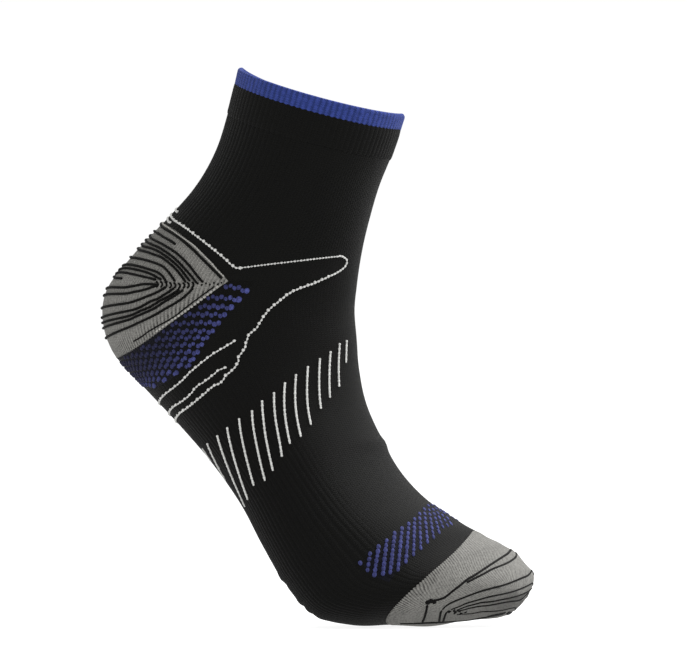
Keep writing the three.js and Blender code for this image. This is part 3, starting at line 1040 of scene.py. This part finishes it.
@functools.cache
def grey_terry():
    finish = KnitFinish("grey_terry", Roughness=0.9, Specular_IOR_Level=0.1, Sheen_Weight=0.04)
    mottle = finish.ramp(finish.noise(1100, 3), 0.3, 0.7)
    cloud = (finish.noise(150) - 0.5) * 1.2
    furrow = finish.ramp(finish.aside, 0.18, 0.42)
    ticks = furrow * finish.ramp(finish.attribute("accent") + cloud, 0.2, 0.8)
    light = 0.63 + 0.18 * finish.stitches + 0.34 * mottle - 0.12 * furrow - 0.36 * ticks
    finish.colour(finish.mix(light, (0, 0, 0), bpy.context.scene.sock_colours.grey))
    finish.bump(finish.stitches + mottle * 0.5 - furrow, 0.00025)
    return finish.material


@functools.cache
def mesh_ground():
    colours = bpy.context.scene.sock_colours
    finish = KnitFinish("mesh_ground", **PLAIN_SHEEN)
    blue = finish.noise(500) * finish.attribute("accent")
    finish.colour(finish.mix(blue, colours.black, colours.tuck_deep))
    finish.bump(finish.stitches, 0.0003)
    return finish.material


@functools.cache
def blue_tuck():
    colours = bpy.context.scene.sock_colours
    finish = Finish("blue_tuck", Roughness=0.8, Specular_IOR_Level=0.1, Sheen_Weight=0.03)
    twist = finish.ramp(finish.noise(1500), 0.35, 0.65)
    # Across the instep, shown also holds painted light: the stitches get lighter towards the top of the foot.
    blue = finish.attribute("shown") * (0.4 + 0.6 * twist)
    finish.colour(finish.mix(blue, colours.tuck_deep, colours.tuck))
    finish.bump(twist, 0.0001)
    return finish.material


@functools.cache
def yarn(name):
    """A yarn whose twist shows as light between two shares of its colour."""
    base = getattr(bpy.context.scene.sock_colours, name)
    low, high, roughness, specular = YARNS[name]
    finish = Finish(f"{name}_yarn", Roughness=roughness, Specular_IOR_Level=specular)
    twist = finish.ramp(finish.noise(1400), 0.3, 0.7)
    finish.colour(finish.mix(twist, scaled(base, low), scaled(base, high)))
    finish.bump(twist, 0.00012)
    return finish.material


# Pieces


class SOCK_OT_edge_band(bpy.types.Operator):
    """Knit the blue band that is turned over at the mouth"""

    bl_idname = "sock.edge_band"
    bl_label = "Edge band"

    def execute(self, context):
        sizes = context.scene.sock_sizes
        end, outer, wall = sizes.edge_band, sizes.edge_band_proud, sizes.edge_band_wall
        sides = [(below, outer) for below in np.linspace(end, wall, 4)]
        round_top = [
            (wall / 2 * (1 - math.sin(angle)), outer - wall / 2 * (1 - math.cos(angle)))
            for angle in np.linspace(0, math.pi, 7)
        ]
        inside = [(below, outer - wall) for below in np.linspace(wall, end, 3)]
        band = Knitting()
        band.ring(sides + round_top + inside, furrows(sizes.rib * 0.5))
        add_piece("blue_edge_band", band.bm, blue_rib(), "edge_band")
        return {"FINISHED"}


class SOCK_OT_cuff(bpy.types.Operator):
    """Knit the black cuff, a doubled welt with a rounded lower edge"""

    bl_idname = "sock.cuff"
    bl_label = "Cuff"

    def execute(self, context):
        sizes = context.scene.sock_sizes
        top, bottom = sizes.edge_band, sizes.edge_band + sizes.cuff
        proud, inner = sizes.cuff_proud, sizes.cuff_proud - sizes.cuff_wall
        swell = [(top, sizes.edge_band_proud), (top + 0.0015, proud * 0.85), (top + 0.004, proud)]
        near_edge = ((0.003, proud), (0.0012, proud), (0.0004, proud * 0.7), (0, 0))
        edge = [(bottom - above, height) for above, height in near_edge]
        inside = [(bottom, inner), ((top + bottom) / 2, inner), (top, inner)]
        cuff = Knitting()
        cuff.ring(swell + edge + inside, furrows(sizes.rib * 0.8))
        add_piece("turned_cuff", cuff.bm, black_knit(), "cuff")
        return {"FINISHED"}


class SOCK_OT_leg(bpy.types.Operator):
    """Knit the black leg, ribbed at the back"""

    bl_idname = "sock.leg"
    bl_label = "Leg"

    def execute(self, context):
        sizes = context.scene.sock_sizes
        turns = round_turns()
        top = section_below([sizes.edge_band + sizes.cuff], turns)[0]
        sheets = [(turns, top, panel_upper(turns), 30)]
        add_zone("ribbed_leg", "leg", sizes.plain_wall, sheets, accent=openwork)
        return {"FINISHED"}


class SOCK_OT_ankle_panel(bpy.types.Operator):
    """Knit the leaf-shaped panel round heel and ankle"""

    bl_idname = "sock.ankle_panel"
    bl_label = "Ankle panel"

    def execute(self, context):
        tip = PANEL_TURNS[-1]
        turns = round_turns(-tip, tip)
        upper, lower = panel_upper(turns), panel_lower(turns)
        heel_top = np.clip(heel_edge(heel_upper, turns), upper, lower)
        mesh_end = np.clip(heel_mesh_lower(turns), upper, lower)
        sheets = [(turns, upper, heel_top, 10), (turns, mesh_end, lower, 24)]
        add_zone("ankle_panel_knit", "ankle_panel", context.scene.sock_sizes.plain_wall, sheets)
        return {"FINISHED"}


class SOCK_OT_heel(bpy.types.Operator):
    """Knit the grey heel pocket and the ground of the mesh patch below it"""

    bl_idname = "sock.heel"
    bl_label = "Heel"

    def execute(self, context):
        turns = round_turns(-HEEL_GORE["turn"], HEEL_GORE["turn"])
        pocket = (turns, heel_edge(heel_upper, turns), heel_edge(heel_lower, turns), 34)
        add_padded_zone("grey_heel_pocket", "heel_pocket", [pocket], accent=heel_ticks)
        turns = round_turns(-HEEL_MESH["turn"], HEEL_MESH["turn"])
        ground = (turns, heel_edge(heel_lower, turns), heel_mesh_lower(turns), 16)
        add_mesh_zone("heel_mesh_ground", "heel_mesh", [ground], level(0), heel_mesh_blue)
        return {"FINISHED"}


class SOCK_OT_foot(bpy.types.Operator):
    """Knit the foot from the ankle panel to the arch band, and the band"""

    bl_idname = "sock.foot"
    bl_label = "Foot and arch band"

    def execute(self, context):
        sizes = context.scene.sock_sizes
        turns = round_turns()
        arch_from, arch_to = across(ARCH_FROM, turns), across(ARCH_TO, turns)
        foot = [(turns, panel_lower(turns), arch_from, 32)]
        add_zone("foot_knit", "foot", sizes.plain_wall, foot, accent=openwork)
        add_zone("arch_band_knit", "arch_band", sizes.arch_wall, [(turns, arch_from, arch_to, 14)])
        return {"FINISHED"}


class SOCK_OT_forefoot(bpy.types.Operator):
    """Knit the forefoot, with the ground of the mesh strip across its top"""

    bl_idname = "sock.forefoot"
    bl_label = "Forefoot"

    def execute(self, context):
        side = INSTEP_MESH["turn"]
        turns, near_sole, over_top = round_turns(), round_turns(-side, side), round_turns(side, 360 - side)
        sheets = [
            (turns, across(ARCH_TO, turns), instep_mesh_from(turns), 30),
            (near_sole, instep_mesh_from(near_sole), instep_mesh_to(near_sole), 16),
            (turns, instep_mesh_to(turns), toe_edge(turns), 16),
        ]
        add_zone("forefoot_knit", "forefoot", context.scene.sock_sizes.plain_wall, sheets)
        ground = (over_top, instep_mesh_from(over_top), instep_mesh_to(over_top), 8)
        add_mesh_zone("instep_mesh_ground", "instep_mesh", [ground], black_relief, level(0.4))
        return {"FINISHED"}


class SOCK_OT_toe(bpy.types.Operator):
    """Knit the grey toe cap, closed at its tip"""

    bl_idname = "sock.toe"
    bl_label = "Toe cap"

    def execute(self, context):
        turns = round_turns()
        cap = (turns, toe_edge(turns), np.full(len(turns), LAST + 1.0), 30)
        knit = {"accent": toe_ticks, "drift": toe_drift, "wales": TOE_WALES}
        add_padded_zone("grey_toe_cap", "toe_cap", [cap], **knit)
        return {"FINISHED"}


class SOCK_OT_black_courses(bpy.types.Operator):
    """Lay the single black courses into heel and toe, a black line of painted shade along the sole's edge,
    and the plain courses at the heel's edges
    """

    bl_idname = "sock.black_courses"
    bl_label = "Black courses"

    toe_widths = (1, 0.9, 0.85, 0.75, 0.75, 0.75, 0.65)
    height = 0.00035  # over the padding
    heel_rise = 0.0005
    toe_rise = -0.00015
    upper_edge, lower_edge = 0.0008, 0.0011  # widths

    def execute(self, context):
        sizes = context.scene.sock_sizes
        wide, high = sizes.course, sizes.padded_proud + self.height
        bm = bmesh.new()
        for course, pixels in enumerate(HEEL_COURSES):
            lay_yarn(bm, both_sides(pixels), wide * (1.1 if course == 0 else 0.95), high + self.heel_rise)
        lay_each_side(bm, HEEL_FINE_COURSE, wide * 0.6, high)
        add_yarns("heel_black_courses", bm, yarn("black"))

        bm = bmesh.new()
        for pixels, share in zip(TOE_COURSES, self.toe_widths):
            lay_yarn(bm, over_the_toe(pixels), wide * share, high + self.toe_rise)
        for pixels in SOLE_COURSES:
            lay_each_side(bm, pixels, wide, high)
        # Painted shade: a wide black line along the sole's bottom edge.
        lay_each_side(bm, SOLE_EDGE_SHADE_LINE, wide * 1.8, high)
        add_yarns("toe_black_courses", bm, yarn("black"))

        bm = bmesh.new()
        for x, y in HEEL_GORE_STITCHES:
            hook = ((x - 2.2, y - 3.4), (x, y - 1.2), (x, y + 1.2), (x - 2.2, y + 3.2))
            lay_each_side(bm, hook, wide * 0.85, high)
        for x, y in HEEL_GORE_KNOTS:
            lay_each_side(bm, ((x - 0.9, y - 0.9), (x, y), (x + 0.8, y + 1)), wide * 0.85, high)
        lay_each_side(bm, TOE_KNOTS, wide * 1.3, high, stitch=0.0018, swell=0.8, uneven=0.2, sway=0.0008)
        lay_each_side(bm, TOE_GORE, wide * 2.1, high, stitch=0.002, swell=0.3, uneven=0.2)
        add_yarns("gore_stitches", bm, yarn("black"))

        bm = bmesh.new()
        lay_yarn(
            bm, both_sides(HEEL_UPPER_EDGE), self.upper_edge, high, stitch=0.0011, swell=0.4, uneven=0.1
        )
        lay_each_side(
            bm, HEEL_LOWER_EDGE, self.lower_edge, high + 0.0001, stitch=0.0017, swell=0.9, uneven=0.1
        )
        add_yarns("heel_edge_courses", bm, yarn("grey"))
        return {"FINISHED"}


class SOCK_OT_white_lines(bpy.types.Operator):
    """Lay the white beaded outline of the ankle panel and the dashes of the arch band"""

    bl_idname = "sock.white_lines"
    bl_label = "White lines"

    height = 0.0005
    dash_height = 0.00045

    def execute(self, context):
        sizes = context.scene.sock_sizes
        wide, high = sizes.outline, self.height
        beads = {"stitch": 0.00165, "swell": 0.85, "uneven": 0.3, "sway": 0.0001}
        bm = bmesh.new()
        for pixels in (OUTLINE_BACK, OUTLINE_LOW):
            lay_yarn(bm, both_sides(pixels), wide, high, **beads)
        lay_each_side(bm, OUTLINE_TOP, wide * 0.65, high, stitch=0.0014, swell=0.85, uneven=0.2)
        lay_each_side(bm, OUTLINE_TIP, wide * 0.8, high, stitch=0.0016, swell=0.6)
        for pixels in BRANCHES:
            lay_yarn(bm, both_sides(pixels), wide * 0.85, high, **beads)
        add_yarns("white_outline", bm, yarn("white"))

        bm = bmesh.new()
        for pixels in DASHES:
            for points in along_wales(pixels):
                lay_yarn(
                    bm, points, sizes.dash, self.dash_height, stitch=0.00095, swell=0.25, uneven=0.15
                )
        add_yarns("white_arch_dashes", bm, yarn("white"))
        return {"FINISHED"}


class SOCK_OT_tuck_stitches(bpy.types.Operator):
    """Set the blue tuck stitches into the two mesh patches"""

    bl_idname = "sock.tuck_stitches"
    bl_label = "Tuck stitches"

    zigzag = 0.03  # sections up or down
    lean = 0.5  # degrees that a stitch leans over by, one way or the other
    bend = (0.09, 0.17)  # sections down at a row's end, and how many more in the first row
    fade = 14  # degrees from a row's end
    height = 0.0004  # of a stitch, over the ground

    def execute(self, context):
        sizes = context.scene.sock_sizes
        self.add("heel_tuck_stitches", self.heel_places(), sizes.heel_tuck)
        self.add("instep_tuck_stitches", self.instep_places(), sizes.instep_tuck)
        return {"FINISHED"}

    def heel_places(self):
        """Rows of stitches, one a wale, stepping up and down from wale to wale and down at their ends."""
        for row, (end_section, end_turn) in enumerate(near_places(HEEL_ROW_ENDS)):
            bend = self.bend[0] + self.bend[1] * math.exp(-row)
            for stitch in range(int(end_turn / 360 * WALES) + 1):
                turn = end_turn - stitch * 360 / WALES
                up = bend * (1 - math.exp(-stitch / 3))
                odd = 1 if stitch % 2 else -1
                section = end_section - up + self.zigzag * odd
                strength = math.exp(-(end_turn - turn) / self.fade)
                if section > heel_lower(turn) + 0.08:
                    for side in (1, -1):
                        below = surface_point(section + 0.05, side * (turn + self.lean * odd))
                        size = 1.15 if stitch == 0 else 0.88 + 0.12 * strength
                        yield section, side * turn, below, strength, size, 1.15 - 0.02 * row

    def instep_places(self):
        """Columns of stitches, larger down the side, and lighter towards the top of the foot: painted light.
        """
        for column, (first, last, count) in enumerate(INSTEP_COLUMNS):
            size = 1.1 - 0.015 * column
            first, last = np.array(first), np.array(last)
            for share in np.linspace(0, 1, count):
                section, turn = place_of(first + (last - first) * share)
                below = place_of(first + (last - first) * share + unit(last - first))
                if turn < 180:
                    for side in (1, -1):
                        point_below = surface_point(below[0], side * below[1])
                        # The stitches get lighter column by column towards the top of the foot: painted
                        # light.
                        strength, drawn = 0.68 + 0.02 * column, 1.2 + 0.06 * column
                        yield section, side * turn, point_below, strength, size, drawn

    def add(self, name, places, long):
        """Adds a ball for each place, drawn out towards the point below it."""
        bm = bmesh.new()
        shown = bm.verts.layers.float.new("shown")
        uneven = np.random.default_rng(1)
        for section, turn, below, strength, size, drawn in places:
            point = surface_point(section, turn)
            outwards = surface_normal(section, turn)
            aside = unit(np.cross(outwards, below - point))
            down = np.cross(aside, outwards)
            size = size * uneven.uniform(0.85, 1.1)
            light = uneven.uniform(0.6, 1)
            half = long / 2 * size
            axes = Matrix(np.stack([aside * half, down * half * drawn, outwards * self.height], -1))
            placed = Matrix.Translation(Vector(point)) @ axes.to_4x4()
            for vert in bmesh.ops.create_icosphere(bm, subdivisions=2, radius=1, matrix=placed)["verts"]:
                vert[shown] = strength * light
        bmesh.ops.recalc_face_normals(bm, faces=bm.faces)
        add_piece(name, bm, blue_tuck())


class SOCK_OT_stage(bpy.types.Operator):
    """Set up the pale floor, the soft light and the camera"""

    bl_idname = "sock.stage"
    bl_label = "Stage"

    floor_radius = 60.0
    floor_drop = 0.0004

    def execute(self, context):
        self.floor()
        self.light("soft_key", place=(1.3, -1.3, 1.1), size=1.2, power=4)
        self.light("soft_top", place=(1.2, 0.9, 1.9), size=1.4, power=105)
        world = bpy.data.worlds.new("studio")
        world.use_nodes = True
        background = world.node_tree.nodes["Background"].inputs
        background["Color"].default_value = (1, 1, 1, 1)
        background["Strength"].default_value = 1.02
        context.scene.world = world
        context.scene.view_settings.view_transform = "Standard"
        self.camera(context)
        return {"FINISHED"}

    def floor(self):
        bm = bmesh.new()
        bmesh.ops.create_circle(bm, cap_ends=True, segments=64, radius=self.floor_radius)
        bmesh.ops.translate(bm, verts=bm.verts, vec=(0, 0, cad_box[0][2] - self.floor_drop))
        mesh = bpy.data.meshes.new("floor")
        bm.to_mesh(mesh)
        bm.free()
        finish = Finish("pale_floor", Roughness=0.9, Specular_IOR_Level=0.1, Emission_Strength=0.9)
        finish.feed(finish.shader.inputs["Emission Color"], (1, 1, 1))
        finish.colour((0.25, 0.25, 0.25))
        mesh.materials.append(finish.material)
        link("floor", mesh)

    def light(self, name, place, size, power):
        lamp = bpy.data.lights.new(name, "AREA")
        lamp.size = size
        lamp.energy = power
        light = link(name, lamp)
        light.location = place
        light.rotation_euler = (-Vector(place)).to_track_quat("-Z", "Y").to_euler()

    def camera(self, context):
        camera = link("camera", bpy.data.cameras.new("camera"))
        camera.location = view_axes()[3]
        camera.rotation_euler = (math.pi / 2, 0, VIEW_AZIMUTH)
        camera.data.sensor_fit = "HORIZONTAL"
        camera.data.lens = camera.data.sensor_width * VIEW_DISTANCE / (PHOTO_WIDTH * PIXEL)
        camera.data.clip_end = 4 * self.floor_radius
        context.scene.camera = camera


OPERATORS = (
    SOCK_OT_edge_band,
    SOCK_OT_cuff,
    SOCK_OT_leg,
    SOCK_OT_ankle_panel,
    SOCK_OT_heel,
    SOCK_OT_foot,
    SOCK_OT_forefoot,
    SOCK_OT_toe,
    SOCK_OT_black_courses,
    SOCK_OT_white_lines,
    SOCK_OT_tuck_stitches,
    SOCK_OT_stage,
)


class SOCK_PT_sidebar(bpy.types.Panel):
    """Sizes, colours and pieces of the sock"""

    bl_label = "Sock"
    bl_space_type = "VIEW_3D"
    bl_region_type = "UI"
    bl_category = "Sock"

    def draw(self, context):
        for group in (context.scene.sock_sizes, context.scene.sock_colours):
            for name in group.__annotations__:
                self.layout.prop(group, name)
        for operator in OPERATORS:
            self.layout.operator(operator.bl_idname)


CLASSES = (SockSizes, SockColours, *OPERATORS, SOCK_PT_sidebar)


def register():
    for cls in CLASSES:
        bpy.utils.register_class(cls)
    bpy.types.Scene.sock_sizes = PointerProperty(type=SockSizes)
    bpy.types.Scene.sock_colours = PointerProperty(type=SockColours)


def unregister():
    del bpy.types.Scene.sock_colours
    del bpy.types.Scene.sock_sizes
    for cls in reversed(CLASSES):
        bpy.utils.unregister_class(cls)


def main():
    register()
    for operator in OPERATORS:
        group, name = operator.bl_idname.split(".")
        getattr(getattr(bpy.ops, group), name)()


if __name__ == "__main__":
    main()
